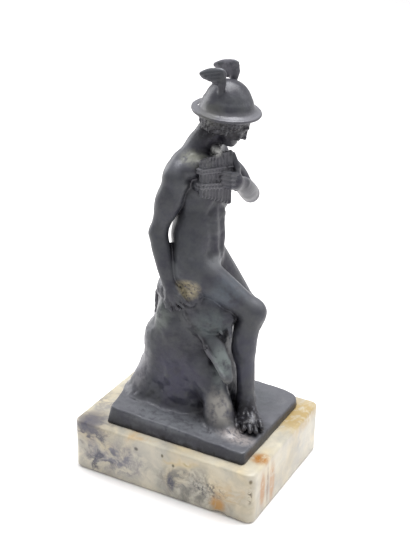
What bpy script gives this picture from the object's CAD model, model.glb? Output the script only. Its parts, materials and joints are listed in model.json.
import json
import math
from collections import namedtuple

import bmesh
import bpy
import numpy as np
from mathutils import Matrix, Vector

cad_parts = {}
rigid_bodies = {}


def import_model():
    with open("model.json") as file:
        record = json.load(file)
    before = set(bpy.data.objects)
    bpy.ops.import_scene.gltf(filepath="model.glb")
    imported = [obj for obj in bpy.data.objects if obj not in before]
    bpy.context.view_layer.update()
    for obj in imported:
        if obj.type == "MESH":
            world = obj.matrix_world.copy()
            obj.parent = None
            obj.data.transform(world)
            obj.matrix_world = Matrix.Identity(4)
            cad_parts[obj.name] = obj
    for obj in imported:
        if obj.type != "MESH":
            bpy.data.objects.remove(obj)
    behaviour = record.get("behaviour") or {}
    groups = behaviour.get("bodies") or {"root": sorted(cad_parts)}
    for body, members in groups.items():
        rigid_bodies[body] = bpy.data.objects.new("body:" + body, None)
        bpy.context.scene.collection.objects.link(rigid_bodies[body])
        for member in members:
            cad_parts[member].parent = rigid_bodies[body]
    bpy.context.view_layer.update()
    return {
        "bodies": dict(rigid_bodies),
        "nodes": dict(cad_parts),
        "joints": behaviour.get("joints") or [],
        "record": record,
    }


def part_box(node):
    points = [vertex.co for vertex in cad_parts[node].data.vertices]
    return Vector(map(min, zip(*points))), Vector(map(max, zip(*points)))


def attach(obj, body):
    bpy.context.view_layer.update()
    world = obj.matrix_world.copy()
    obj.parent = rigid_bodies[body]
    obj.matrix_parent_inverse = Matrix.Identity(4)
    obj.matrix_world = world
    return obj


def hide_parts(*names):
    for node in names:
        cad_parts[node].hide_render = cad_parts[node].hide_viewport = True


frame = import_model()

MM = 0.001

# Figure millimetres: z = 0 is the ground under the youth's feet
Form = namedtuple("Form", "at centre reach")
Frame = namedtuple("Frame", "origin axes place")
WORLD = np.eye(3)


def unit(v):
    v = np.asarray(v, float)
    return v / np.linalg.norm(v)


def lerp(a, b, t):
    return np.asarray(a, float) * (1 - t) + np.asarray(b, float) * t


def add3(a, b, t=1.0):
    return np.asarray(a, float) + np.asarray(b, float) * t


def lengths(rows):
    return np.sqrt(np.einsum("ij,ij->i", rows, rows))


def frame_at(origin, turn, bow=0.0, sway=0.0):
    """Square axes forward, left and up at origin, turned about +Z, then bowed and swayed."""
    t, b, s = (math.radians(v) for v in (turn, bow, sway))
    rz = np.array([[math.cos(t), -math.sin(t), 0], [math.sin(t), math.cos(t), 0], [0, 0, 1]])
    ry = np.array([[math.cos(b), 0, math.sin(b)], [0, 1, 0], [-math.sin(b), 0, math.cos(b)]])
    rx = np.array([[1, 0, 0], [0, math.cos(s), -math.sin(s)], [0, math.sin(s), math.cos(s)]])
    axes = (rz @ ry @ rx).T
    origin = np.array(origin, float)

    def place(f, l, u):
        return origin + np.array([f, l, u], float) @ axes

    return Frame(origin, axes, place)


def egg(centre, radii, axes=WORLD):
    """A ball stretched along three axes."""
    centre = np.array(centre, float)
    radii = np.array(radii if np.ndim(radii) else [radii] * 3, float)
    turn = np.array(axes, float).T.astype(np.float32)

    def at(p):
        q = ((p - centre.astype(np.float32)) @ turn) / radii.astype(np.float32)
        near = lengths(q)
        q = q / radii.astype(np.float32)
        far = lengths(q)
        return near * (near - 1) / np.maximum(far, 1e-6)

    return Form(at, centre, float(radii.max()))


def limb(a, b, ra, rb, swell=0.0):
    """A round bar from a to b, its radius from ra to rb and thicker by swell in the middle."""
    a, b = np.array(a, np.float32), np.array(b, np.float32)
    run = b - a
    squared = float(run @ run)

    def at(p):
        q = p - a
        t = np.clip(q @ run / squared, 0, 1)
        away = q - t[:, None] * run
        return lengths(away) - (ra + (rb - ra) * t + swell * 4 * t * (1 - t))

    return Form(at, (a + b).astype(float) / 2, math.sqrt(squared) / 2 + max(ra, rb) + max(swell, 0))


def ribbon(a, b, wide_a, wide_b, thick, facing):
    """A flat bar with thin sides from a to b, whose half width goes from wide_a to wide_b."""
    a, b, facing = (np.array(v, np.float32) for v in (a, b, facing))
    run = b - a
    squared = float(run @ run)

    def at(p):
        q = p - a
        t = np.clip(q @ run / squared, 0, 1)
        away = q - t[:, None] * run
        out = away @ facing
        aside = np.sqrt(np.maximum(np.einsum("ij,ij->i", away, away) - out * out, 0))
        wide = wide_a + (wide_b - wide_a) * t
        return (np.hypot(aside / wide, out / thick) - 1) * thick

    return Form(at, (a + b).astype(float) / 2, math.sqrt(squared) / 2 + max(wide_a, wide_b))


def slab(centre, half, axes, edge):
    """A box of half sizes in a frame's axes, with rounded edges."""
    centre, half = np.array(centre, np.float32), np.array(half, np.float32)
    turn = np.array(axes, np.float32).T

    def at(p):
        q = np.abs((p - centre) @ turn) - half + edge
        outside = np.linalg.norm(np.maximum(q, 0), axis=1)
        return outside + np.minimum(q.max(1), 0) - edge

    return Form(at, centre.astype(float), float(np.linalg.norm(half)))


def past_reach(form, p):
    """How far points lie outside the ball that holds a form."""
    return lengths(p - form.centre.astype(np.float32)) - form.reach


def lower(a, b, k):
    """The lesser of two distances, rounded over the width k."""
    h = np.maximum(k - np.abs(a - b), 0) / k
    return np.minimum(a, b) - h * h * k / 4


def blend(k, *forms):
    """One form of many: each next one melts into those before it over the width k."""
    low = np.min([f.centre - f.reach for f in forms], axis=0)
    high = np.max([f.centre + f.reach for f in forms], axis=0)
    centre = (low + high) / 2
    reach = max(np.linalg.norm(f.centre - centre) + f.reach for f in forms) + k

    def at(p):
        d = np.full(len(p), 1e3, np.float32)
        for f in forms:
            near = past_reach(f, p) < d + k
            if near.any():
                d[near] = lower(d[near], f.at(p[near]), k)
        return d

    return Form(at, centre, reach)


def carve(k, body, *cutters):
    """The body less the cutters, whose edges are softened over the width k."""

    def at(p):
        d = body.at(p)
        for f in cutters:
            near = (past_reach(f, p) < k + 1) & (d < k + 1)
            if near.any():
                d[near] = -lower(-d[near], f.at(p[near]), k)
        return d

    return Form(at, body.centre, body.reach)


def roll(points, radii, k=0.6):
    """A thin round strand through points, with a radius at each end or one at each point."""
    if np.ndim(radii) == 0:
        radii = [radii] * len(points)
    bars = [limb(a, b, ra, rb) for a, b, ra, rb in zip(points, points[1:], radii, radii[1:])]
    return blend(k, *bars)


def press(body, depth, width, form):
    """The body pushed out by depth, or in where depth is negative, near the form's line."""
    reach = body.reach + max(depth, 0)

    def at(p):
        d = body.at(p)
        near = (past_reach(form, p) < 2.5 * width) & (np.abs(d) < 6 + abs(depth))
        if near.any():
            away = np.maximum(form.at(p[near]), 0) / width
            d[near] -= depth * np.exp(-away * away)
        return d

    return Form(at, body.centre, reach)


# The noise's values at its cells' corners, looked up by a number made from each corner's place
NOISE = np.random.RandomState(11).uniform(-1, 1, 4096).astype(np.float32)


def noise(p, size, seed=0):
    """Smooth noise from -1 to 1 with a cell of that size."""
    q = p / size
    cell = np.floor(q).astype(np.int64)
    t = q - cell
    t = t * t * (3 - 2 * t)
    total = np.zeros(len(p), np.float32)
    for corner in range(8):
        step = np.array([corner & 1, corner >> 1 & 1, corner >> 2 & 1])
        c = cell + step
        key = (c[:, 0] * 73856093) ^ (c[:, 1] * 19349663) ^ (c[:, 2] * 83492791) ^ (seed * 2654435)
        share = np.where(step, t, 1 - t).prod(1)
        total += NOISE[key & 4095] * share
    return total


def rough(body, *layers):
    """The body with noise on its surface: each layer is a size, a height and a seed."""
    reach = body.reach + sum(abs(h) for _, h, _ in layers)

    def at(p):
        d = body.at(p)
        near = np.abs(d) < 3
        if near.any():
            for size, height, seed in layers:
                d[near] -= height * noise(p[near], size, seed)
        return d

    return Form(at, body.centre, reach)


def both(f, l, u, place):
    """The same place on the right and on the left side of a frame."""
    return place(f, -l, u), place(f, l, u)


# Frames of the youth's hips, chest and head, of the hat and of the pipes, and the limbs' joints.
# Toes: how far aside and ahead of the toes' middle each one ends, from the big one on.
HIPS = frame_at((-3, 0, 84), 4, 6)
CHEST = frame_at((-1.8, 5.6, 120.5), -15, 3)
HEAD = frame_at((11.8, 5.8, 160.6), 26, 33)
HAT = frame_at((10.9, 5, 165.6), 34, 5, 4.4)
PIPES = frame_at((6.8, -14.4, 144), -14.4)
RIGHT = dict(shoulder=(-7.4, -12.2, 132.6), elbow=(-15.4, -17, 103.2), wrist=(-8, -18.8, 77.5),
             knuckles=(-4.4, -19.4, 70.4), hip=(0.5, -8.6, 84), knee=(29.2, 4.2, 60.2),
             ankle=(28.9, 0.3, 10), toes=(38.6, -12.4, 1.2))
LEFT = dict(shoulder=(-3.2, 23, 136), elbow=(10.1, 36.4, 112), wrist=(15.2, 17.5, 124.6),
            hip=(-0.5, 9, 84), knee=(16.2, 24.4, 50.6), ankle=(-6, 29, 9), toes=(13, 29.5, 0.8))
RIGHT_TOES = ((5.3, 1.2), (1.8, 4.4), (-1.2, 3.6), (-4.1, 1.2), (-6.7, -2.4))
LEFT_TOES = ((4.2, 0.8), (1.7, 1.2), (-0.6, 0.2), (-2.7, -1.6), (-4.5, -3.8))


def torso():
    hips, chest = HIPS.place, CHEST.place
    mass = blend(
        6,
        egg(hips(-0.4, 0, 0), (12, 16.4, 12), HIPS.axes),
        egg(hips(-5.5, -7.6, -5), (9, 9, 9.5), HIPS.axes),
        egg(hips(-5.5, 7.6, -5), (9, 9, 9.5), HIPS.axes),
        egg((-2.2, 0.9, 100), (13, 16.4, 17)),
        egg(chest(0, 0, 0.5), (12, 16.4, 18), CHEST.axes),
        egg(chest(-3.5, 0, 12), (8.6, 15.5, 8), CHEST.axes),
        egg(hips(0.8, -12.4, 7.4), (6.6, 5.2, 7.6), HIPS.axes),
        egg(hips(0.8, 12.6, 8.6), (6, 4, 5), HIPS.axes),
    )
    pectorals = [egg(p, (5.6, 8.2, 6.4), CHEST.axes) for p in both(7.2, 7.4, 9.5, chest)]
    lats = [egg(p, (6.5, 5, 14), CHEST.axes) for p in both(-5, 11.5, 1, chest)]
    blades = [egg(p, (2.6, 5, 7.5), CHEST.axes) for p in both(-10.4, 7.6, 7, chest)]
    muscles = blend(
        3,
        mass,
        *pectorals,
        *lats,
        limb((-3.5, 4.5, 143), (7.4, 5.6, 156.5), 7.2, 6.4),
        limb((0.6, 5.4, 156.4), (-3.2, 2.8, 147), 4.4, 5.4),
        limb((-3.2, 2.8, 147), (-7.7, -9.3, 136), 5.2, 6.6),
        limb((-1, 8, 147), (-3.4, 21.4, 138.6), 5.6, 5.2),
    )
    nape = egg((-8.6, -5.8, 139.8), (4, 4.6, 4))
    rectus = [limb(chest(8.6, s * 3.4, -9), (9, 0.6 + s * 3.2, 92), 3.4, 3) for s in (-1, 1)]
    belly = blend(
        2.6,
        muscles,
        nape,
        egg((2.4, -5.4, 140.4), (6, 7.5, 4.4)),
        egg((-0.4, -9.6, 137.6), (6, 6, 4.4)),
        *blades,
        *rectus,
        egg((6.4, 0.4, 88.5), (5.4, 7.6, 7)),
    )
    pit, shoulder_r, shoulder_l = chest(8.8, 0, 16.8), chest(0.5, -15.5, 15.6), chest(1.5, 16, 16)
    collar = [roll((add3(pit, CHEST.axes[1], s * 1.6), chest(8.4, s * 7, 17.6), end), (1.2, 1.0, 1.2))
              for s, end in ((-1, shoulder_r), (1, shoulder_l))]
    boned = blend(1.8, belly, *collar)
    ribs = [roll((chest(8.4, s * 8.5, -2.5 - 3.6 * i), chest(2.5, s * 14.6, 1.2 - 3.6 * i)), 0.9)
            for s in (-1, 1) for i in range(3)]
    for rib in ribs:
        boned = press(boned, 0.3, 1.3, rib)
    spine = roll((chest(-12, 0, 14), chest(-12.6, 0, 0), (-14.6, 1.2, 100), hips(-12, 0, 4)), 0.6)
    breast = roll((chest(11.5, 0, 14), chest(12.6, 0, 3)), 0.5)
    middle = roll((chest(12.6, 0.2, -1), (12.2, 0.8, 104), (12, 0.6, 90)), 0.4)
    bars = [roll(((8, y0, z), (12.4, 0.8, z - 0.8), (8, 1.6 - y0, z)), 0.4)
            for y0, z in ((-5.6, 109), (-5.4, 102))]
    arch = [roll((chest(12.2, s * 1, 1.8), chest(10.4, s * 6.2, -6.8), chest(4, s * 12, -12.5)), 0.5)
            for s in (-1, 1)]
    under_breast = [roll((chest(12.2, s * 2.5, 3.6), chest(11.6, s * 9, 3.4), chest(6.5, s * 14.6, 8)), 0.4)
                    for s in (-1, 1)]
    flank = [roll(((10.2, 0.6 + s * 7, 108), (9.6, 0.6 + s * 6.6, 98), (11, 0.6 + s * 4, 90)), 0.4)
             for s in (-1, 1)]
    groin = [roll((hips(3.5, s * 15, 8.4), hips(9.4, s * 12, 3.2), hips(12.4, s * 5, -3)), 0.5)
             for s in (-1, 1)]
    shaped = boned
    for depth, width, lines in ((-1.2, 2.4, [spine]), (-0.8, 1.8, [breast]), (-0.6, 1.1, [middle]),
                                (-0.3, 1.0, bars), (-0.6, 1.6, arch), (-0.6, 1.3, under_breast),
                                (-0.5, 1.4, flank), (-1.0, 1.4, groin)):
        for line in lines:
            shaped = press(shaped, depth, width, line)
    nipples = [egg(p, (1.0, 0.9, 0.9), CHEST.axes) for p in both(12.1, 8.6, 7.2, chest)]
    finished = blend(0.8, shaped, *nipples)
    return carve(0.8, finished, egg((12.8, 0.8, 94.2), (1.6, 0.7, 1)),
                 egg(hips(-15.4, 0, -6), (2.6, 0.9, 7), HIPS.axes))


def square_to(direction, axis):
    """The direction's part that is square to an axis, one long."""
    direction = np.asarray(direction, float)
    return unit(direction - (direction @ axis) * axis)


def arm(side, outer, girth=1.0):
    shoulder, elbow, wrist = (np.array(side[n], float) for n in ("shoulder", "elbow", "wrist"))
    down = unit(elbow - shoulder)
    fore = unit(wrist - elbow)
    outer = square_to(outer, down)
    across = np.cross(down, outer)
    fore_outer = square_to(outer, fore)
    body = blend(
        3,
        egg(shoulder, np.array((6.8, 7, 7.6)) * girth),
        limb(shoulder, elbow, 5.9 * girth, 4.2, 0.6),
        egg(lerp(shoulder, elbow, 0.4), (6.7 * girth, 6.7 * girth, 10), (outer, across, down)),
        limb(elbow, wrist, 4.4, 3.5, 0.8),
    )
    return blend(
        1.6,
        body,
        egg(lerp(shoulder, elbow, 0.52) + outer * 3 * girth, (3.8, 3.8, 8.8), (outer, across, down)),
        egg(lerp(shoulder, elbow, 0.5) - outer * 2.8 * girth, (4, 4.4, 9.6), (outer, across, down)),
        egg(elbow - (fore - down) * 2.2, 1.8),
        egg(lerp(elbow, wrist, 0.28) + across * 0.8, (3.7, 3.8, 8.5),
            (fore_outer, np.cross(fore, fore_outer), fore)),
    )


def leg(side, back):
    hip, knee, ankle = (np.array(side[n], float) for n in ("hip", "knee", "ankle"))
    down = unit(ankle - knee)
    run = unit(knee - hip)
    back = square_to(back, down)
    side_way = np.cross(down, back)
    front = square_to(-back, run)
    front_way = np.cross(front, run)
    shin = lerp(knee, ankle, 0.43) + back * 2.4
    cap = knee - back * 4.2 + run * 0.6
    body = blend(
        4,
        limb(hip, knee, 10.4, 6.1, 0.3),
        egg(knee - back * 0.6, (5.2, 5.2, 6.2)),
        limb(knee, shin, 5.5, 4.9),
        limb(shin, ankle, 4.9, 4.7),
        egg(lerp(knee, ankle, 0.33) + back * 4.6, (5.4, 5.4, 13.5), (back, side_way, down)),
    )
    shaped = blend(
        1.8,
        body,
        egg(cap, (2.3, 3.1, 3.6), (back, side_way, down)),
        egg(lerp(hip, knee, 0.8) + side_way * 3.4 + front * 1.4, (3.4, 3, 6.5), (front, front_way, run)),
        egg(lerp(hip, knee, 0.78) - side_way * 3.6 + front * 1.2, (3.2, 2.8, 7.5), (front, front_way, run)),
        roll((cap + down * 3.4, cap + down * 7.2 + back * 0.8), (1.6, 1.3)),
        roll((knee + down * 9 - back * 3, shin - back * 3.6, lerp(knee, ankle, 0.85) - back * 2.8),
             (1.0, 1.1, 0.8)),
        egg(ankle + side_way * 3.4 + (0, 0, 1.2), 1.6),
        egg(ankle - side_way * 3.4 + (0, 0, 0.4), 1.6),
    )
    calf_split = roll((knee + down * 12 + back * 9.6, knee + down * 25 + back * 7.6), 0.6)
    return press(shaped, -0.5, 1.8, calf_split)


def foot(side, inner, fan):
    """A foot with its arch, tendons and five toes. fan holds how far aside and ahead each toe ends."""
    ankle, toes = np.array(side["ankle"], float), np.array(side["toes"], float)
    run = unit((toes[0] - ankle[0], toes[1] - ankle[1], 0))
    across = np.array([-run[1] * inner, run[0] * inner, 0])
    up = np.array([0, 0, 1.0])
    heel = np.array([ankle[0] - run[0] * 4.4, ankle[1] - run[1] * 4.4, toes[2] + 1.6])
    ball = toes - run * 6.4
    solid = blend(
        2.4,
        limb(ankle, heel, 4.6, 3.9),
        limb(ankle, ball + up * 1.8 + across * 2.6, 4.7, 2.7),
        limb(ankle, ball + up * 0.8 - across * 4 - run * 1.6, 4.0, 2.2),
        limb(heel, ball - across * 4.2 - run * 2, 3.5, 2.2),
        limb(heel + across * 1.4, ball + across * 3.8, 3.2, 2.4),
        egg(ball + run * 0.8 + up * 1.3 - across * 0.7, (6.2, 6.6, 2.7), (run, across, up)),
    )
    parts = []
    for toe, (aside, ahead) in enumerate(fan):
        size = 1.75 if toe == 0 else 1.3
        tip = toes + across * aside + run * ahead
        root = tip - run * 6.4 - across * aside * 0.1 + up * 0.9
        joint = lerp(root, tip, 0.55) + up * 1.0
        parts += [roll((root, joint, tip), (size * 1.05, size, size * 0.92), 0.5)]
        instep = lerp(ankle, ball, 0.35) + up * 2.6 + across * aside * 0.4
        parts += [roll((instep, root + up * 1.1), (0.6, 0.6))]
    return blend(0.6, solid, *parts)


def resting_hand():
    wrist, knuckles = np.array(RIGHT["wrist"], float), np.array(RIGHT["knuckles"], float)
    run = unit(knuckles - wrist)
    across = unit(np.cross(run, (0.1, -1, 0.1)))
    up = unit(np.cross(across, run))
    up = up if up[1] < 0 else -up
    palm = lerp(wrist, knuckles, 0.62)
    solid = blend(
        1.6,
        limb(wrist, palm, 3.1, 3.1),
        egg(lerp(wrist, knuckles, 0.75), (5.2, 2.6, 5.4), (across, unit(np.cross(run, across)), run)),
    )
    fingers = []
    for finger in range(4):
        aside = 3.9 - finger * 2.6
        spread = across * (1.5 - finger) * 0.55
        root = knuckles + across * aside
        middle = root + run * 3.6 + (0, 0.4, 0) + spread
        tip = middle + run * 2.6 + (0, 1.7, -0.6) + spread
        fingers += [roll((root + up * 0.9, middle + up * 0.5, tip), (1.25, 1.15, 0.95), 0.4)]
        fingers += [roll((wrist + up * 2.7, root + up * 1.9), (0.4, 0.5))]
    fingers += [roll((palm + across * 2.6, palm + across * 5.4 + run * 4, palm + across * 5.9 + run * 7),
                     (1.5, 1.3, 1.1))]
    return blend(0.6, solid, *fingers)


REEDS = 10
REED_PITCH = 2.35


def pan_pipes():
    reeds, bores = [], []
    for reed in range(REEDS):
        aside = (reed + 0.5) * REED_PITCH
        drop = 19 + reed * 9 / (REEDS - 1)
        reeds += [limb(PIPES.place(0, aside, 0.4), PIPES.place(0, aside, 1.2 - drop), 1.14, 1.1)]
        bores += [limb(PIPES.place(0, aside, -1), PIPES.place(0, aside, 3), 0.62, 0.62)]
    width = REEDS * REED_PITCH
    cords = []
    for left, right in ((-4.0, -7.6), (-5.7, -10.2), (-11.4, -16.4), (-13.4, -18.6)):
        cords += [roll((PIPES.place(1.25, -0.2, left), PIPES.place(1.25, width + 0.2, right)), 0.55),
                  roll((PIPES.place(-1.25, -0.2, left), PIPES.place(-1.25, width + 0.2, right)), 0.55),
                  roll((PIPES.place(-1.25, -0.3, left), PIPES.place(1.25, -0.3, left)), 0.55)]
    backing = slab(PIPES.place(-0.5, width / 2, -10.6), (0.3, width / 2 - 0.6, 8.4), PIPES.axes, 0.2)
    lashings = []
    for turn in range(5):
        aside = 1.4 + turn * 2.3
        low = -13.4 - aside * 0.22
        lashings += [roll((PIPES.place(1.4, aside, low), PIPES.place(1.5, aside + 1.8, low + 1.6)), 0.42)]
    row = carve(0.2, blend(0.12, *reeds, backing), *bores)
    for slot in range(1, REEDS):
        aside = slot * REED_PITCH
        drop = 18 + slot * 9 / (REEDS - 1)
        groove = roll((PIPES.place(0.9, aside, 0), PIPES.place(0.9, aside, 1.6 - drop)), 0.15)
        row = press(row, -0.9, 0.55, groove)
    return blend(0.3, row, *cords, *lashings)


def piping_hand():
    width = REEDS * REED_PITCH
    wrist = np.array(LEFT["wrist"], float)
    palm = PIPES.place(2, width + 1.8, -15.6)
    solid = blend(
        1.6,
        limb(wrist, palm, 3.2, 3.2),
        egg(palm, (2.6, 3.2, 5.6), PIPES.axes),
    )
    fingers = []
    for finger in range(4):
        down = -11.4 - finger * 2.35
        knuckle = PIPES.place(3.2, width + 0.4, down)
        middle = PIPES.place(3.3, width - 4.6, down + 1.5)
        tip = PIPES.place(1.9, width - 10 + abs(finger - 1.2), down + 2.9)
        fingers += [roll((knuckle, middle, tip), (1.22, 1.18, 0.95), 0.3)]
    thumb = roll((PIPES.place(-2.4, width + 0.6, -12), PIPES.place(-2.8, width - 4, -4.4),
                  PIPES.place(-2.2, width - 9.4, 2.4)), (2.0, 2.3, 2.7))
    back = roll((palm, PIPES.place(2.2, width + 1.4, -8), PIPES.place(0.6, width + 0.2, -1.4)),
                (2.2, 1.9, 1.3))
    return blend(0.45, solid, *fingers, thumb, back)


def head():
    at = HEAD.place
    axes = HEAD.axes
    skull = blend(
        3.4,
        egg(at(-0.4, 0, 2), (10.6, 8.6, 9.6), axes),
        egg(at(3, 0, -3.6), (6.8, 6.6, 7.4), axes),
        egg(at(6.2, 0, -8.2), (3, 3.2, 2.6), axes),
    )
    sockets = [egg(p, (1.6, 2.0, 1.3), axes) for p in both(10.0, 3.1, 0.6, at)]
    hollowed = carve(1.6, skull, *sockets)
    cheeks = [egg(p, (2.0, 2.2, 1.6), axes) for p in both(7.6, 4.2, -3.4, at)]
    brows = [roll((at(9.7, s * 0.9, 2.2), at(9.5, s * 3.4, 2.7), at(8.2, s * 5.4, 2.0)), (0.8, 0.75, 0.6))
             for s in (-1, 1)]
    eyes = [egg(p, (1.35, 1.6, 1.3), axes) for p in both(8.2, 3.1, 0.5, at)]
    nose = [roll((at(9.6, 0, 2.0), at(11.2, 0, -2.6)), (0.7, 1.0)),
            egg(at(11.4, 0, -3.2), (1.2, 1.1, 1.0), axes),
            *[egg(p, (0.9, 0.7, 0.75), axes) for p in both(10.4, 1.25, -3.5, at)]]
    mouth = [egg(at(9.1, 0, -5.7), (1.1, 2.1, 0.7), axes), egg(at(8.7, 0, -6.9), (1.0, 1.7, 0.75), axes)]
    chin = egg(at(7.6, 0, -9), (1.7, 2, 1.5), axes)
    face = blend(1.0, hollowed, *cheeks, *brows, chin)
    face = blend(0.7, face, *nose, *mouth)
    face = blend(0.3, face, *eyes)
    lids = [roll((at(8.9, s * 1.6, 0.3), at(9.5, s * 3.0, 1.3), at(8.5, s * 4.7, 0.3)), 0.32)
            for s in (-1, 1)]
    lids += [roll((at(8.9, s * 1.6, 0.2), at(9.3, s * 3.1, -0.5), at(8.5, s * 4.6, 0.2)), 0.26)
             for s in (-1, 1)]
    face = blend(0.35, face, *lids)
    line = roll((at(9.3, -2.1, -6.2), at(10.0, 0, -6.3), at(9.3, 2.1, -6.2)), 0.18)
    face = press(face, -0.35, 0.4, line)
    nostrils = [egg(p, (0.5, 0.35, 0.35), axes) for p in both(10.9, 0.7, -4.2, at)]
    ears = []
    for s in (-1, 1):
        ears += [egg(at(-0.6, s * 8.1, -1.4), (2.1, 0.9, 3), axes),
                 roll((at(0.6, s * 8.7, -0.4), at(-0.4, s * 9.1, 1.3), at(-2, s * 9, 0.4),
                       at(-1.6, s * 8.8, -2.2), at(-0.2, s * 8.5, -3.8)), 0.5)]
    hollows = [egg(p, (0.8, 0.6, 1.2), axes) for p in both(0, 9.1, -1.2, at)]
    return carve(0.3, blend(0.5, face, *ears), *nostrils, *hollows)


DOME_RADIUS = 12.2


def hat():
    rim, root = np.array([16.7, 0.2]), np.array([11.4, 5.0])
    along = rim - root
    squared = float(along @ along)
    origin = HAT.origin.astype(np.float32)
    up_axis = HAT.axes[2].astype(np.float32)

    def at(p):
        q = p - origin
        up = q @ up_axis
        out = np.sqrt(np.maximum(np.einsum("ij,ij->i", q, q) - up * up, 0))
        t = np.clip(((out - root[0]) * along[0] + (up - root[1]) * along[1]) / squared, 0, 1)
        dish = 0.9 * 4 * t * (1 - t)
        thick = 0.72 + 0.22 * np.clip((t - 0.82) / 0.1, 0, 1)
        return np.hypot(out - root[0] - along[0] * t, up - root[1] - along[1] * t + dish) - thick

    brim = Form(at, HAT.origin, 18.0)
    dome = egg(HAT.place(0, 0, 3.4), (DOME_RADIUS, DOME_RADIUS, DOME_RADIUS + 0.3), HAT.axes)
    below = slab(HAT.place(0, 0, -12), (20, 20, 12.6), HAT.axes, 0.2)
    whole = blend(2.4, carve(0.5, dome, below), brim)
    return rough(whole, (9.0, 0.25, 21), (3.6, 0.1, 22))


def hair():
    curls = []
    draw = np.random.RandomState(5)
    for row in range(5):
        count = 36 - row * 2
        for curl in range(count):
            around = (curl + row * 0.5) / count * 2 * math.pi
            front = math.cos(around)
            if (front > 0.72 and row > 2) or (front > 0.2 and row > 3):
                continue
            ring = 12.3 - row * 0.6
            low = -1.6 - row * 1.7 + 0.5 * max(front, 0) * row
            jog = draw.uniform(-0.35, 0.35, 3)
            place = HAT.place(ring * front - 1 + jog[0], ring * 0.97 * math.sin(around) + jog[1],
                              low + jog[2])
            dimple = HAT.place((ring + 1.3) * front - 1 + jog[1],
                               (ring + 1.3) * 0.97 * math.sin(around) + jog[2], low + 0.3)
            curls += [carve(0.25, egg(place, (1.35, 1.35, 1.25)), egg(dimple, 0.6))]
    return blend(0.4, egg(HAT.place(-1.2, 0, -2), (11.6, 11.2, 6.3), HAT.axes), *curls)


WING_TURN = 12


def wing(side):
    frame = frame_at(HAT.origin, WING_TURN)
    far = side > 0
    ahead, lift = (1, 1.2) if far else (0, 1.6)

    def place(f, l, u):
        return frame.place(f + ahead, l * side, u + lift)

    swept = frame_at(HAT.origin, WING_TURN, -8).axes
    forms = [
        limb(place(-0.4, 9, 8.4), place(-0.3, 9.6, 14), 1.7, 1.5),
        egg(place(-0.2, 9.7, 15.4), (2.4, 1.3, 4.6), frame.axes),
        egg(place(-4, 10.2, 18.6), (6.9, 1.2, 3.2), swept),
    ]
    if far:
        forms += [egg(place(-2.4, 10.2, 16), (5, 1.2, 3.6), swept)]
    for feather in range(4):
        root = place(-0.4, 10.4, 20.4 - feather * 1.9)
        tip = place(-10.2 + feather * 2.1, 10.5, 18.5 - feather * 1.3)
        forms += [limb(root, tip, 1, 0.9, 0.2)]
    whole = blend(0.9, *forms)
    for feather in range(7):
        share = feather / 6
        root = place(-0.8 - 0.6 * share, 11.2, 19.6 - 6 * share)
        tip = place(-10 + 7 * share, 11.2, 17.6 - 4.4 * share)
        whole = press(whole, -0.22, 0.45, roll((root, tip), 0.1))
    return whole


def rock():
    mound = blend(
        9,
        limb((-9, 6, 4), (-8, 1, 48), 24, 14.5),
        limb((-29, -6, 0), (-20.5, -3, 28), 11.5, 8),
        limb((6, 8, 2), (2, 3, 40), 18, 12.5),
        egg((-12, 2, 60), (11.5, 13, 11.5)),
        egg((-19, -2, 38), (10.5, 11, 11)),
        egg((8, 1, 52), (10, 11, 12)),
        egg((-14, 14, 38), (13, 12, 22)),
        limb((10, -7.5, 25), (21.2, -15, 4), 8.5, 6),
        limb((21.2, -15, 4), (28, -19.4, -1), 6, 4),
    )
    cap = egg((-14.4, -8.4, 53), (7.5, 6.5, 11), (unit((1, -0.5, 0)), unit((0.5, 1, 0)), (0, 0, 1)))
    ledges = blend(2, mound, cap, egg((-25, 4, 22), (9, 9, 8)), egg((10, 19, 26), (10, 7, 12)))
    hollows = (egg((-17, -23, 13), (8, 6, 8)), egg((4, -24, 9), (8, 6, 6)),
               egg((-7, -21, 37), (7, 4, 5)))
    carved = carve(4, ledges, *hollows)
    creases = (
        roll(((-15, -17, 43), (-8, -17.5, 39.6), (2, -17, 41)), 0.3),
        roll(((-18, -16, 40), (-15, -18.5, 32), (-15, -20, 24)), 0.3),
        roll(((-6, -21, 33), (2, -20, 26), (8, -19, 22)), 0.3),
        roll(((-22, -20, 17), (-14, -22, 13), (-4, -22, 12)), 0.3),
        roll(((-24, 12, 56), (-26, 14, 40), (-30, 12, 24)), 0.3),
        roll(((-6, 24, 50), (-12, 27, 34), (-14, 31, 16)), 0.3),
    )
    for crease in creases:
        carved = press(carved, -0.8, 1.1, crease)
    return rough(carved, (11, 1.0, 1), (5, 0.5, 2), (2.2, 0.2, 3))


# The cloth's end, from above: middle and half width
HEM = ((8, -9.6, 51, 4.6), (15.4, -11, 41.4, 4.8), (20.4, -12, 35, 3.9), (25, -14, 27.6, 2.7))
HEM_FACING = unit((0.42, -0.88, 0.2))


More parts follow.
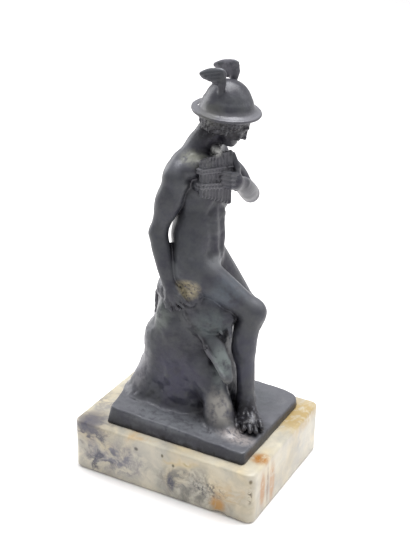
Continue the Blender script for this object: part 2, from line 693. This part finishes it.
def cloak():
    pieces = [ribbon(above[:3], below[:3], above[3], below[3], 2.0, HEM_FACING)
              for above, below in zip(HEM, HEM[1:])]
    edge = ((-3.6, -16, 64.5), (0.6, -17, 56.8), (5.8, -16.2, 50), (9.4, -15.6, 46.6), (12, -15.8, 43.4),
            (17, -15.6, 37), (23.2, -16.4, 29.2))
    band = blend(1.6, *pieces, roll(edge, 0.9))
    drape = blend(
        3,
        egg((5.4, -8.4, 59), (12.6, 6, 13)),
        egg((13, -4.6, 57), (10, 5, 9)),
        egg((1.2, -13, 71), (6.5, 4, 7.5)),
        egg((-9.5, 0, 67), (14.6, 14.6, 9)),
    )
    folds = [
        roll(((-6.6, -13.8, 79.6), (-1.5, -13.4, 79), (2, -12.2, 78)), (1.2, 1.5, 1.2)),
        roll(((0.9, -12.8, 78), (4.2, -12.6, 75), (6.8, -12.6, 72)), (1.2, 1.3, 1.1)),
        roll(((-4.5, -15.6, 75.6), (-0.5, -15.4, 74.8), (3.4, -14.6, 71.6), (5.8, -14, 68.4)),
             (1.0, 1.3, 1.2, 0.9)),
        roll(((-2.6, -16.6, 71.4), (0.8, -16.4, 69.4), (4, -15.8, 66.4)), (0.9, 1.2, 0.8)),
        roll(((4, -13, 71), (8, -11.5, 62), (12, -10.5, 53)), (1.0, 1.1, 0.8)),
        roll(((9, -9.5, 68), (14, -8.6, 60), (18, -8.6, 50)), (0.9, 1.1, 0.8)),
        roll(((15, -6, 64), (20, -6, 57), (22.6, -7.2, 48)), (0.8, 1.0, 0.9)),
    ]
    for fold in range(5):
        turn = math.radians(78 + fold * 24)
        out = np.array([math.cos(turn), math.sin(turn), 0])
        top = np.array([-9.5, 0, 70]) + out * 11
        middle = np.array([-11, 0, 60 - 3 * (fold % 2)]) + out * 15
        foot_end = np.array([-12, 0, 42 - 6 * (fold % 3)]) + out * (17 + fold % 2)
        folds += [roll((top, middle, foot_end), (2.4, 2.0, 1.0))]
    cloth = blend(2, drape, *folds)
    return blend(1.2, rough(cloth, (3.4, 0.4, 7), (1.7, 0.22, 8)), rough(band, (4, 0.2, 9)))


PLINTH_HEIGHT = 7
# The plinth's sides: direction in degrees, distance at the ground's height, and lean
SIDES = dict(front=(-90, 33.8, 0.25), right=(0, 45.4, 0.08), back=(90, 38.4, 0.15), left=(190.4, 42.2, 0.19))


def plinth():
    def side_of(turn, out, lean):
        nx, ny = math.cos(math.radians(turn)), math.sin(math.radians(turn))
        return lambda p: (nx * p[:, 0] + ny * p[:, 1] - out + lean * p[:, 2]) / math.hypot(1, lean)

    front, right, back, left = (side_of(*SIDES[n]) for n in ("front", "right", "back", "left"))

    def upper(a, b, k):
        return -lower(-a, -b, k)

    def at(p):
        x, y, z = p.T
        ground = 0.35 * np.sin(x / 4.1 + y / 7) * np.sin(y / 4.7 - x / 9 + 1) - 0.04 * x - 0.033 * y
        ground += 0.22 * noise(p, 3.2, 31) + 0.1 * noise(p, 1.3, 32)
        around = upper(upper(upper(right(p), back(p), 12), left(p), 40), front(p), 2.6)
        return upper(around + 0.15 * noise(p, 6, 33), z - ground, 1.2)

    return Form(at, np.zeros(3), 66.0)


def bronze_field():
    body = blend(
        2.6,
        torso(),
        egg(RIGHT["shoulder"], (6.8, 7, 7.6)),
        limb((-8.5, -11.5, 90), (-4, -13, 82), 4.4, 4.4),
        arm(LEFT, (0.6, 0.3, 0), 0.8),
        leg(RIGHT, unit((-0.9, -0.3, -0.05))),
        leg(LEFT, unit((-0.75, 0.1, -0.45))),
    )
    held = blend(0.9, body, arm(RIGHT, (0.5, -0.3, 0)))
    youth = blend(1.3, held, resting_hand(), foot(RIGHT, 1, RIGHT_TOES), foot(LEFT, -1, LEFT_TOES), head())
    dressed = blend(0.6, youth, hair(), hat(), wing(-1), wing(1), piping_hand(), pan_pipes())
    ground = blend(1.6, blend(5, rock(), plinth()), cloak())
    whole = blend(0.8, ground, dressed)
    return Form(lambda p: np.maximum(whole.at(p), -PLINTH_HEIGHT - p[:, 2]), whole.centre, whole.reach)


# Sculpting: points are moved onto the surface where a field is zero

def slopes(form, points, here, step=0.04):
    """The field's gradient at points, from its values one small step along each axis."""
    found = np.empty_like(points)
    for axis in range(3):
        ahead = points.copy()
        ahead[:, axis] += step
        found[:, axis] = (form.at(ahead) - here) / step
    return found


def settle(points, form, rounds, stride):
    """Moves points onto the form's surface, by at most stride in each round."""
    points = points.astype(np.float32)
    busy = np.arange(len(points))
    for _ in range(rounds):
        here = form.at(points[busy])
        off = np.abs(here) > 0.01
        busy, here = busy[off], here[off]
        if not len(busy):
            break
        slope = slopes(form, points[busy], here)
        steep = np.maximum(np.einsum("ij,ij->i", slope, slope), 0.3)
        move = -slope * (here / steep)[:, None]
        length = np.linalg.norm(move, axis=1)
        move *= np.minimum(1, stride / np.maximum(length, 1e-6))[:, None]
        points[busy] += move
    return points


def coordinates(mesh):
    co = np.empty(len(mesh.vertices) * 3, np.float32)
    mesh.vertices.foreach_get("co", co)
    return co.reshape(-1, 3)


def with_modifier(obj, kind, **settings):
    """The object's mesh after one modifier, which is used up."""
    modifier = obj.modifiers.new(kind.title(), kind)
    for name, value in settings.items():
        setattr(modifier, name, value)
    evaluated = obj.evaluated_get(bpy.context.evaluated_depsgraph_get())
    mesh = bpy.data.meshes.new_from_object(evaluated)
    obj.modifiers.clear()
    old, obj.data = obj.data, mesh
    bpy.data.meshes.remove(old)
    return obj


def sculpted(node, name, form, ground, cells, triangles):
    """A piece that starts as the node's own solid and is brought onto the form, with a finer mesh
    in each of its rounds. cells holds each round's mesh width in millimetres."""
    mesh = frame["nodes"][node].data.copy()
    shell = bmesh.new()
    shell.from_mesh(mesh)
    bmesh.ops.remove_doubles(shell, verts=shell.verts, dist=0.01 * MM)
    shell.to_mesh(mesh)
    shell.free()
    piece = bpy.data.objects.new(name, mesh)
    bpy.context.scene.collection.objects.link(piece)
    mesh.materials.clear()
    for cell in cells:
        with_modifier(piece, "REMESH", mode="VOXEL", voxel_size=cell * MM, adaptivity=0.0)
        points = coordinates(piece.data) / MM - (0, 0, ground)
        points = settle(points, form, 5, 0.8 * cell)
        piece.data.vertices.foreach_set("co", ((points + (0, 0, ground)) * MM).astype(np.float32).ravel())
        piece.data.update()
    faces = sum(len(p.vertices) - 2 for p in piece.data.polygons)
    if faces > triangles:
        with_modifier(piece, "DECIMATE", ratio=triangles / faces, use_collapse_triangulate=True)
    piece.data.polygons.foreach_set("use_smooth", [True] * len(piece.data.polygons))
    return piece


def add_shades(piece, form, ground):
    """Three values for each point: how far it lies in a hollow, how far it stands out, where hands
    and cloths rub the patina thin, and how far it faces up, where dust and wax settle."""
    mesh = piece.data
    points = coordinates(mesh) / MM - np.array((0, 0, ground), np.float32)
    normals = np.empty(len(mesh.vertices) * 3, np.float32)
    mesh.vertices.foreach_get("normal", normals)
    normals = normals.reshape(-1, 3)
    hollow = np.zeros(len(points), np.float32)
    for reach, share in ((0.5, 0.4), (1.3, 0.3), (3.0, 0.18), (7.0, 0.12)):
        hollow += np.clip(1 - form.at((points + normals * reach).astype(np.float32)) / reach, 0, 1) * share
    depth = 1.4
    inside = -form.at((points - normals * depth).astype(np.float32)) / depth
    proud = np.clip(1 - inside, 0, 1)
    upward = np.clip(normals[:, 2], 0, 1) ** 1.5
    for name, values in (("hollow", hollow), ("proud", proud), ("upward", upward)):
        attribute = mesh.attributes.new(name, "FLOAT", "POINT")
        attribute.data.foreach_set("value", values.astype(np.float32))


def marble_form(width, depth, height):
    """The block with worn edges, softly uneven faces and the chips of its lower front edge."""
    corner, edge, inset = 4.2, 1.5, 0.08

    def at(p):
        x = np.abs(p[:, 0]) - width / 2 + corner
        y = np.abs(p[:, 1]) - depth / 2 + corner
        around = np.hypot(np.maximum(x, 0), np.maximum(y, 0)) + np.minimum(np.maximum(x, y), 0) - corner
        level = np.abs(p[:, 2] - (height - inset) / 2) - (height + inset) / 2
        u, v = around + edge, level + edge
        d = np.hypot(np.maximum(u, 0), np.maximum(v, 0)) + np.minimum(np.maximum(u, v), 0) - edge
        worn = 0.12 * noise(p, 14, 41) + 0.05 * noise(p, 4, 42)
        return d + np.maximum(worn, 0) + inset

    block = Form(at, np.array([0, 0, height / 2]), 75.0)
    chips = [
        egg((width / 2 - 19, -depth / 2 - 0.6, 0.2), (4.6, 2.6, 2.5)),
        egg((width / 2 - 12.5, -depth / 2 - 1.2, -0.4), (4.2, 2.4, 1.9)),
        egg((-width / 2 - 0.4, -depth / 2 - 0.2, height - 2), (1.5, 1.5, 2.4)),
        egg((width / 2 + 0.6, -6, height + 0.5), (1.4, 3, 1.3)),
    ]
    return carve(0.8, block, *chips)


# Materials

def linear(colour):
    """An sRGB hex colour as linear red, green, blue and 1."""
    parts = [int(colour[i:i + 2], 16) / 255 for i in (1, 3, 5)]
    return tuple(c / 12.92 if c <= 0.04045 else ((c + 0.055) / 1.055) ** 2.4 for c in parts) + (1.0,)


def put(tree, kind, sockets=None, stops=None, **settings):
    """Adds a node. sockets maps an input to a value or to another node's output, and stops are the
    places and values of a colour ramp."""
    made = tree.nodes.new(kind)
    for name, value in settings.items():
        setattr(made, name, value)
    for socket, value in (sockets or {}).items():
        if isinstance(value, bpy.types.NodeSocket):
            tree.links.new(value, made.inputs[socket])
        else:
            made.inputs[socket].default_value = value
    if stops:
        ramp = made.color_ramp
        while len(ramp.elements) < len(stops):
            ramp.elements.new(0.5)
        for element, (place, value) in zip(ramp.elements, stops):
            element.position = place
            element.color = value if np.ndim(value) else (value, value, value, 1)
    return made


def new_material(name):
    material = bpy.data.materials.new(name)
    material.use_nodes = True
    tree = material.node_tree
    tree.nodes.clear()
    shader = put(tree, "ShaderNodeBsdfPrincipled")
    output = put(tree, "ShaderNodeOutputMaterial")
    tree.links.new(shader.outputs[0], output.inputs["Surface"])
    return material, tree, shader


def speckle(tree, where, size, detail=2.0, rough=0.5, low=0.4, high=0.6):
    """Noise with cells of size millimetres, stretched so that low is 0 and high is 1."""
    source = put(tree, "ShaderNodeTexNoise",
                 {"Vector": where, "Scale": 1 / (size * MM), "Detail": detail, "Roughness": rough})
    return put(tree, "ShaderNodeMapRange",
               {"Value": source.outputs[0], "From Min": low, "From Max": high}, clamp=True).outputs[0]


def near(tree, where, centre, radii, soft=1.0):
    """1 at a place in world millimetres and 0 outside its radii, with a soft edge."""
    shift = put(tree, "ShaderNodeMapping",
                {"Vector": where, "Location": [-c / r for c, r in zip(centre, radii)],
                 "Scale": [1 / (r * MM) for r in radii]})
    away = put(tree, "ShaderNodeVectorMath", {0: shift.outputs[0]}, operation="LENGTH")
    return put(tree, "ShaderNodeMapRange",
               {"Value": away.outputs["Value"], "From Min": 1.0, "From Max": max(1 - soft, 0.0),
                "To Min": 0.0, "To Max": 1.0},
               interpolation_type="SMOOTHSTEP", clamp=True).outputs[0]


# Tints of the patina: colour, strength, middle and reach in world millimetres, and grain in mm
PATINA_PATCHES = (
    ("#100e14", 0.95, (11.0, 5.0, 194.0), (30.0, 28.0, 10.5), 2.5),
    ("#2b2a32", 0.85, (12.0, 3.0, 216.0), (17.0, 16.0, 10.0), 8.0),
    ("#8a8b80", 0.9, (0.5, -8.0, 179.0), (10.0, 7.5, 7.0), 3.0),
    ("#b3a988", 0.95, (1.5, -16.0, 112.5), (9.0, 5.5, 8.0), 1.5),
    ("#908d88", 0.95, (24.0, -18.0, 50.0), (11.0, 9.0, 19.0), 6.0),
    ("#a79f9c", 0.75, (36.0, -22.0, 37.5), (17.0, 9.0, 4.0), 1.6),
    ("#17151a", 0.95, (37.0, -9.0, 42.0), (21.0, 17.0, 13.0), 3.0),
    ("#1f1e25", 0.95, (2.0, -39.0, 32.0), (110.0, 8.0, 9.0), 7.0),
    ("#3b3736", 0.8, (50.0, 0.0, 32.0), (8.0, 70.0, 8.0), 5.0),
    ("#7f8886", 0.75, (21.0, -13.0, 71.0), (8.0, 6.0, 19.0), 5.0),
    ("#6a716b", 0.55, (-16.0, -14.0, 91.0), (8.0, 7.0, 11.0), 4.0),
    ("#7d7c81", 0.8, (-30.0, -8.0, 60.0), (12.0, 14.0, 28.0), 6.0),
    ("#7f8287", 0.75, (-4.0, -26.0, 37.0), (46.0, 11.0, 4.0), 3.0),
    ("#4f5356", 0.5, (24.0, 18.0, 36.0), (24.0, 20.0, 4.0), 4.0),
    ("#9a9a99", 0.4, (40.0, 26.0, 37.0), (8.0, 12.0, 3.0), 0.9),
    ("#59626b", 0.6, (16.0, -5.0, 111.0), (22.0, 12.0, 12.0), 9.0),
    ("#7b7f83", 0.7, (-4.0, -13.0, 122.0), (9.0, 8.0, 12.0), 6.0),
    ("#828588", 0.6, (9.0, -2.0, 124.0), (8.0, 10.0, 7.0), 5.0),
    ("#3d3d55", 0.55, (0.0, -12.0, 113.0), (12.0, 9.0, 12.0), 8.0),
    ("#3a3a4e", 0.5, (27.0, 0.0, 70.0), (9.0, 9.0, 26.0), 9.0),
    ("#3a3750", 0.5, (-6.0, -20.0, 58.0), (24.0, 12.0, 26.0), 9.0),
    ("#525e5d", 0.4, (14.0, -12.0, 92.0), (14.0, 9.0, 13.0), 4.0),
    ("#a5a5a2", 0.9, (8.8, -1.6, 183.0), (4.6, 4.6, 4.0), 0.9),
    ("#76757d", 0.8, (3.0, 15.0, 222.0), (14.0, 7.0, 11.0), 4.0),
    ("#67675f", 0.35, (9.0, -10.0, 203.0), (10.0, 10.0, 10.0), 6.0),
)


def bronze_patina():
    """Cast bronze, patinated grey-black and waxed: a thin dull layer on metal, satin, with violet
    shadows, an olive bloom on the high places and pale wear where hands and cloths touch it."""
    material, tree, shader = new_material("bronze_grey_black_patina")
    where = put(tree, "ShaderNodeTexCoord").outputs["Object"]
    hollow = put(tree, "ShaderNodeAttribute", attribute_name="hollow").outputs["Fac"]
    proud = put(tree, "ShaderNodeAttribute", attribute_name="proud").outputs["Fac"]
    upward = put(tree, "ShaderNodeAttribute", attribute_name="upward").outputs["Fac"]
    clouds = speckle(tree, where, 26, 3, 0.55, 0.36, 0.64)
    mottle = speckle(tree, where, 6, 4, 0.6, 0.38, 0.62)
    grit = speckle(tree, where, 0.9, 2, 0.5, 0.42, 0.62)

    ground_tone = put(tree, "ShaderNodeMix", {0: clouds, 6: linear("#2c2a35"), 7: linear("#3b3d43")},
                      data_type="RGBA").outputs[2]
    mottled = put(tree, "ShaderNodeMath", {0: mottle, 1: 0.6}, operation="MULTIPLY").outputs[0]
    bloom = put(tree, "ShaderNodeMix", {0: mottled, 6: ground_tone, 7: linear("#4a4c4d")},
                data_type="RGBA").outputs[2]
    settled = put(tree, "ShaderNodeMath", {0: upward, 1: 0.6}, operation="MULTIPLY").outputs[0]
    bloom = put(tree, "ShaderNodeMix", {0: settled, 6: bloom, 7: linear("#74757b")},
                data_type="RGBA").outputs[2]
    deep = put(tree, "ShaderNodeMapRange", {"Value": hollow, "From Min": 0.16, "From Max": 0.62,
                                            "To Max": 0.85}, clamp=True).outputs[0]
    shaded = put(tree, "ShaderNodeMix", {0: deep, 6: bloom, 7: linear("#15131b")},
                 data_type="RGBA").outputs[2]
    rubbed = put(tree, "ShaderNodeMapRange", {"Value": proud, "From Min": 0.3, "From Max": 0.75,
                                              "To Max": 0.4}, clamp=True).outputs[0]
    worn = put(tree, "ShaderNodeMix", {0: rubbed, 6: shaded, 7: linear("#6c6b70")},
               data_type="RGBA").outputs[2]
    colour = worn
    for tint, strength, centre, radii, size in PATINA_PATCHES:
        there = near(tree, where, centre, radii, 0.7)
        broken = put(tree, "ShaderNodeMath", {0: there, 1: speckle(tree, where, size, 3, 0.6, 0.32, 0.52)},
                     operation="MULTIPLY").outputs[0]
        share = put(tree, "ShaderNodeMath", {0: broken, 1: strength}, operation="MULTIPLY").outputs[0]
        colour = put(tree, "ShaderNodeMix", {0: share, 6: colour, 7: linear(tint)},
                     data_type="RGBA").outputs[2]
    tree.links.new(colour, shader.inputs["Base Color"])

    dull = put(tree, "ShaderNodeMapRange", {"Value": mottle, "To Min": 0.44, "To Max": 0.58}).outputs[0]
    tree.links.new(dull, shader.inputs["Roughness"])
    shader.inputs["Metallic"].default_value = 0.3
    shader.inputs["Specular IOR Level"].default_value = 0.1
    shader.inputs["Coat Weight"].default_value = 0.4
    shader.inputs["Coat Roughness"].default_value = 0.26
    cast = put(tree, "ShaderNodeBump", {"Height": mottle, "Strength": 0.5, "Distance": 0.25 * MM}).outputs[0]
    pitted = put(tree, "ShaderNodeBump", {"Height": grit, "Normal": cast, "Strength": 0.4,
                                          "Distance": 0.08 * MM}).outputs[0]
    tree.links.new(pitted, shader.inputs["Normal"])
    return material


# Marks in the marble: colour, strength, middle and reach in world millimetres, and kind
MARBLE_MARKS = (
    ("#6b6963", 0.95, (22.0, -42.0, 11.0), (36.0, 14.0, 18.0), "cloud"),
    ("#6c6b75", 0.95, (-30.0, -42.0, 14.0), (32.0, 16.0, 19.0), "cloud"),
    ("#3e3e4c", 0.95, (-42.0, -41.0, 24.0), (20.0, 16.0, 13.0), "vein"),
    ("#4e4d58", 0.9, (-46.0, -38.0, 28.0), (13.0, 14.0, 7.0), "plain"),
    ("#3f3f4c", 0.9, (-38.0, -42.0, 10.0), (14.0, 10.0, 13.0), "vein"),
    ("#77757a", 0.7, (-48.0, -14.0, 30.0), (12.0, 28.0, 6.0), "vein"),
    ("#3c3c4c", 0.95, (6.6, -42.0, 9.5), (3.4, 6.0, 8.0), "dense"),
    ("#3d3b3e", 0.9, (29.0, -42.0, 13.0), (15.0, 6.0, 7.0), "dot"),
    ("#a67a3c", 0.95, (34.7, -42.0, 6.0), (6.5, 6.0, 6.5), "dense"),
    ("#c9a878", 0.7, (40.0, -42.0, 14.0), (9.0, 5.0, 12.0), "cloud"),
    ("#b9a478", 0.6, (12.0, -42.0, 26.0), (16.0, 5.0, 4.0), "cloud"),
    ("#9c6a2a", 1.0, (51.0, -25.0, 30.0), (7.0, 7.0, 5.0), "dense"),
    ("#a4784a", 0.95, (55.0, -30.0, 15.0), (5.0, 4.4, 15.0), "dense"),
    ("#a98058", 0.9, (55.0, -18.5, 13.0), (5.0, 4.6, 17.0), "dense"),
    ("#846a58", 0.8, (55.0, -24.0, 14.0), (5.0, 2.2, 17.0), "dense"),
    ("#a38c5c", 0.95, (50.0, 24.0, 29.0), (18.0, 26.0, 9.0), "dense"),
    ("#a3a29c", 0.75, (55.0, 14.0, 15.0), (7.0, 20.0, 15.0), "cloud"),
    ("#7f7f86", 0.7, (55.0, 17.0, 20.0), (6.0, 8.0, 11.0), "vein"),
    ("#b3905f", 0.6, (-14.0, -39.0, 30.0), (14.0, 5.0, 4.0), "cloud"),
    ("#4a3c24", 1.0, (53.4, -42.0, 17.0), (2.0, 2.4, 8.0), "dot"),
    ("#5a4a2c", 0.9, (53.4, -41.6, 26.0), (1.4, 1.8, 2.0), "plain"),
    ("#4f4a45", 0.95, (-14.7, -42.0, 24.0), (1.7, 2.0, 1.6), "plain"),
    ("#55503c", 0.95, (1.4, -42.0, 25.0), (1.1, 1.6, 1.6), "plain"),
    ("#55503c", 0.95, (8.1, -42.0, 21.0), (1.2, 1.6, 1.5), "plain"),
    ("#8c8054", 0.8, (17.0, -42.0, 25.8), (3.0, 3.0, 2.4), "cloud"),
)


def onyx_marble():
    """Polished onyx marble: cream and waxy, clouded with blue-grey veins, with rust stains."""
    material, tree, shader = new_material("polished_cream_onyx_marble")
    where = put(tree, "ShaderNodeTexCoord").outputs["Object"]
    drift = put(tree, "ShaderNodeTexNoise",
                {"Vector": where, "Scale": 1 / (16 * MM), "Detail": 3.0}).outputs[1]
    centred = put(tree, "ShaderNodeVectorMath", {0: drift, 1: (0.5, 0.5, 0.5)},
                  operation="SUBTRACT").outputs[0]
    shift = put(tree, "ShaderNodeVectorMath", {0: centred, "Scale": 22 * MM}, operation="SCALE").outputs[0]
    warped = put(tree, "ShaderNodeVectorMath", {0: where, 1: shift}, operation="ADD").outputs[0]

    milky = speckle(tree, warped, 18, 4, 0.6, 0.35, 0.65)
    base = put(tree, "ShaderNodeMix", {0: milky, 6: linear("#c2bba9"), 7: linear("#a7a398")},
               data_type="RGBA").outputs[2]
    yellow = speckle(tree, warped, 30, 2, 0.5, 0.5, 0.68)
    warm = put(tree, "ShaderNodeMath", {0: yellow, 1: 0.5}, operation="MULTIPLY").outputs[0]
    colour = put(tree, "ShaderNodeMix", {0: warm, 6: base, 7: linear("#c9b68c")},
                 data_type="RGBA").outputs[2]

    grey = speckle(tree, warped, 24, 5, 0.65, 0.5, 0.7)
    faint = put(tree, "ShaderNodeMath", {0: grey, 1: 0.55}, operation="MULTIPLY").outputs[0]
    colour = put(tree, "ShaderNodeMix", {0: faint, 6: colour, 7: linear("#7f7f7e")},
                 data_type="RGBA").outputs[2]

    bands = put(tree, "ShaderNodeTexNoise", {"Vector": warped, "Scale": 1 / (13 * MM), "Detail": 4.0,
                                             "Roughness": 0.6}).outputs[0]
    ridge = put(tree, "ShaderNodeMath", {0: bands, 1: 0.5}, operation="SUBTRACT").outputs[0]
    ridge = put(tree, "ShaderNodeMath", {0: ridge}, operation="ABSOLUTE").outputs[0]
    vein = put(tree, "ShaderNodeMapRange", {"Value": ridge, "From Min": 0.07, "From Max": 0.0}).outputs[0]
    for tint, strength, centre, radii, kind in MARBLE_MARKS:
        there = near(tree, warped if kind in ("vein", "cloud") else where, centre, radii, 0.7)
        pattern = {"vein": vein, "cloud": speckle(tree, warped, 7, 4, 0.65, 0.4, 0.6), "plain": None,
                   "dense": speckle(tree, warped, 5, 4, 0.65, 0.3, 0.52),
                   "dot": speckle(tree, where, 2.2, 3, 0.6, 0.5, 0.6)}[kind]
        share = there
        if pattern is not None:
            share = put(tree, "ShaderNodeMath", {0: there, 1: pattern}, operation="MULTIPLY").outputs[0]
        share = put(tree, "ShaderNodeMath", {0: share, 1: strength}, operation="MULTIPLY").outputs[0]
        colour = put(tree, "ShaderNodeMix", {0: share, 6: colour, 7: linear(tint)},
                     data_type="RGBA").outputs[2]
    tree.links.new(colour, shader.inputs["Base Color"])
    shader.inputs["Roughness"].default_value = 0.3
    shader.inputs["Subsurface Weight"].default_value = 0.08
    shader.inputs["Subsurface Radius"].default_value = (1.0, 0.8, 0.6)
    shader.inputs["Subsurface Scale"].default_value = 3 * MM
    wavy = put(tree, "ShaderNodeBump", {"Height": milky, "Strength": 0.25, "Distance": 0.3 * MM}).outputs[0]
    tree.links.new(wavy, shader.inputs["Normal"])
    return material


def pale_floor():
    bed = bmesh.new()
    bmesh.ops.create_grid(bed, x_segments=1, y_segments=1, size=4.0)
    bmesh.ops.translate(bed, verts=bed.verts, vec=(0, 0, -0.02 * MM))
    mesh = bpy.data.meshes.new("pale_floor")
    bed.to_mesh(mesh)
    bed.free()
    floor = bpy.data.objects.new("pale_floor", mesh)
    bpy.context.scene.collection.objects.link(floor)
    material, tree, shader = new_material("pale_paper_floor")
    grain = speckle(tree, put(tree, "ShaderNodeTexCoord").outputs["Object"], 300, 2, 0.5, 0.0, 1.0)
    paper = put(tree, "ShaderNodeMix", {0: grain, 6: linear("#f4f2f3"), 7: linear("#f8f7f7")},
                data_type="RGBA").outputs[2]
    tree.links.new(paper, shader.inputs["Base Color"])
    shader.inputs["Roughness"].default_value = 0.9
    mesh.materials.append(material)


def soft_light(name, place, target, size, watts):
    lamp = bpy.data.lights.new(name, "AREA")
    lamp.shape = "RECTANGLE"
    lamp.size, lamp.size_y = size
    lamp.energy = watts
    holder = bpy.data.objects.new(name, lamp)
    aim = (Vector(target) - Vector(place)).to_track_quat("-Z", "Y")
    holder.matrix_world = Matrix.Translation(Vector(place)) @ aim.to_matrix().to_4x4()
    bpy.context.scene.collection.objects.link(holder)


def studio():
    world = bpy.data.worlds.new("white_studio")
    world.use_nodes = True
    shade = world.node_tree.nodes["Background"]
    shade.inputs[0].default_value = linear("#ffffff")
    shade.inputs[1].default_value = 0.6
    bpy.context.scene.world = world
    soft_light("overhead_softbox", (0.1, 0.25, 1.3), (0, 0, 0.1), (0.9, 0.9), 24)
    soft_light("left_softbox", (-1.3, 0.2, 0.6), (0, 0, 0.1), (0.9, 1.1), 11)
    soft_light("right_softbox", (0.9, 0.7, 0.8), (0, 0, 0.1), (0.8, 1.0), 3)
    view = bpy.context.scene.view_settings
    view.view_transform = "Standard"
    view.look = "None"


def camera():
    """The photo's view: the direction back to the camera, its roll and its distance, with a lens
    whose focal length is 1100 pixels on a frame 547 pixels high."""
    azimuth, elevation, roll = math.radians(28.23), math.radians(24.83), math.radians(0.89)
    aside, above, distance, middle = 2.63, 3.63, 578.7, 110.0
    back = Vector((math.sin(azimuth) * math.cos(elevation), -math.cos(azimuth) * math.cos(elevation),
                   math.sin(elevation)))
    level = Vector((0, 0, 1)).cross(back).normalized()
    upright = back.cross(level)
    right = level * math.cos(roll) + upright * math.sin(roll)
    up = upright * math.cos(roll) - level * math.sin(roll)
    place = Vector((0, 0, middle)) + back * distance + right * aside + up * above
    data = bpy.data.cameras.new("photo_camera")
    sensor, focal_pixels, frame_pixels = 36.0, 1100, 547
    data.sensor_width = sensor
    data.lens = sensor * focal_pixels / frame_pixels
    data.clip_start, data.clip_end = 0.01, 20
    holder = bpy.data.objects.new("photo_camera", data)
    holder.matrix_world = Matrix.Translation(place * MM) @ Matrix((right, up, back)).transposed().to_4x4()
    bpy.context.scene.collection.objects.link(holder)
    bpy.context.scene.camera = holder


BRONZE_CELLS = {True: (0.75,), False: (0.6, 0.45)}
MARBLE_CELLS = {True: (1.2,), False: (0.8,)}
BRONZE_TRIANGLES, MARBLE_TRIANGLES = 195000, 90000

camera()
studio()
pale_floor()

base_low, base_high = (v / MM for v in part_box("marble_base"))
ground = base_high.z + PLINTH_HEIGHT
coarse = bool(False)
cast_form = bronze_field()
bronze = sculpted("bronze_mercury", "bronze_mercury_cast", cast_form, ground,
                  BRONZE_CELLS[coarse], BRONZE_TRIANGLES)
add_shades(bronze, cast_form, ground)
bronze.data.materials.append(bronze_patina())
marble = sculpted("marble_base", "marble_block", marble_form(*(base_high - base_low)), 0.0,
                  MARBLE_CELLS[coarse], MARBLE_TRIANGLES)
marble.data.materials.append(onyx_marble())
for piece, node in ((bronze, "bronze_mercury"), (marble, "marble_base")):
    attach(piece, "root")
    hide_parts(node)
